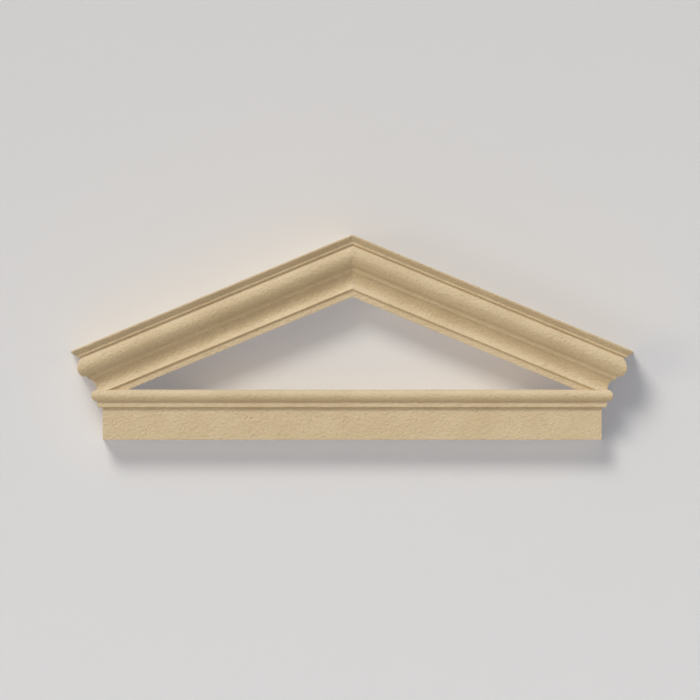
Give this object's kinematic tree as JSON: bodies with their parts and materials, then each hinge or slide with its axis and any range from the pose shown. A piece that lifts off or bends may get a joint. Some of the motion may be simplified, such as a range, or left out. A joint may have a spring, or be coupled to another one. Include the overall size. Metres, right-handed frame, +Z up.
{
  "type": "decorative pediment",
  "caption": "Open triangular wall pediment: raking cornices of cap, ovolo and scotia, mitred at the apex, over a level base moulding with torus and plain fascia.",
  "frame": {"origin": "middle of the base moulding's flat back, on the wall plane", "axes": "+X to the right along the wall seen from the front, +Y into the wall, +Z up; the front faces -Y"},
  "size_m": [1.3508, 0.1704, 0.4944],
  "materials": {
    "sand_coat": "fine sand-textured coat in a warm sandstone colour, dull, on rigid foam"
  },
  "bodies": {
    "root": {"base_moulding": "sand_coat", "left_raking_cornice": "sand_coat", "right_raking_cornice": "sand_coat"}
  },
  "joints": []
}
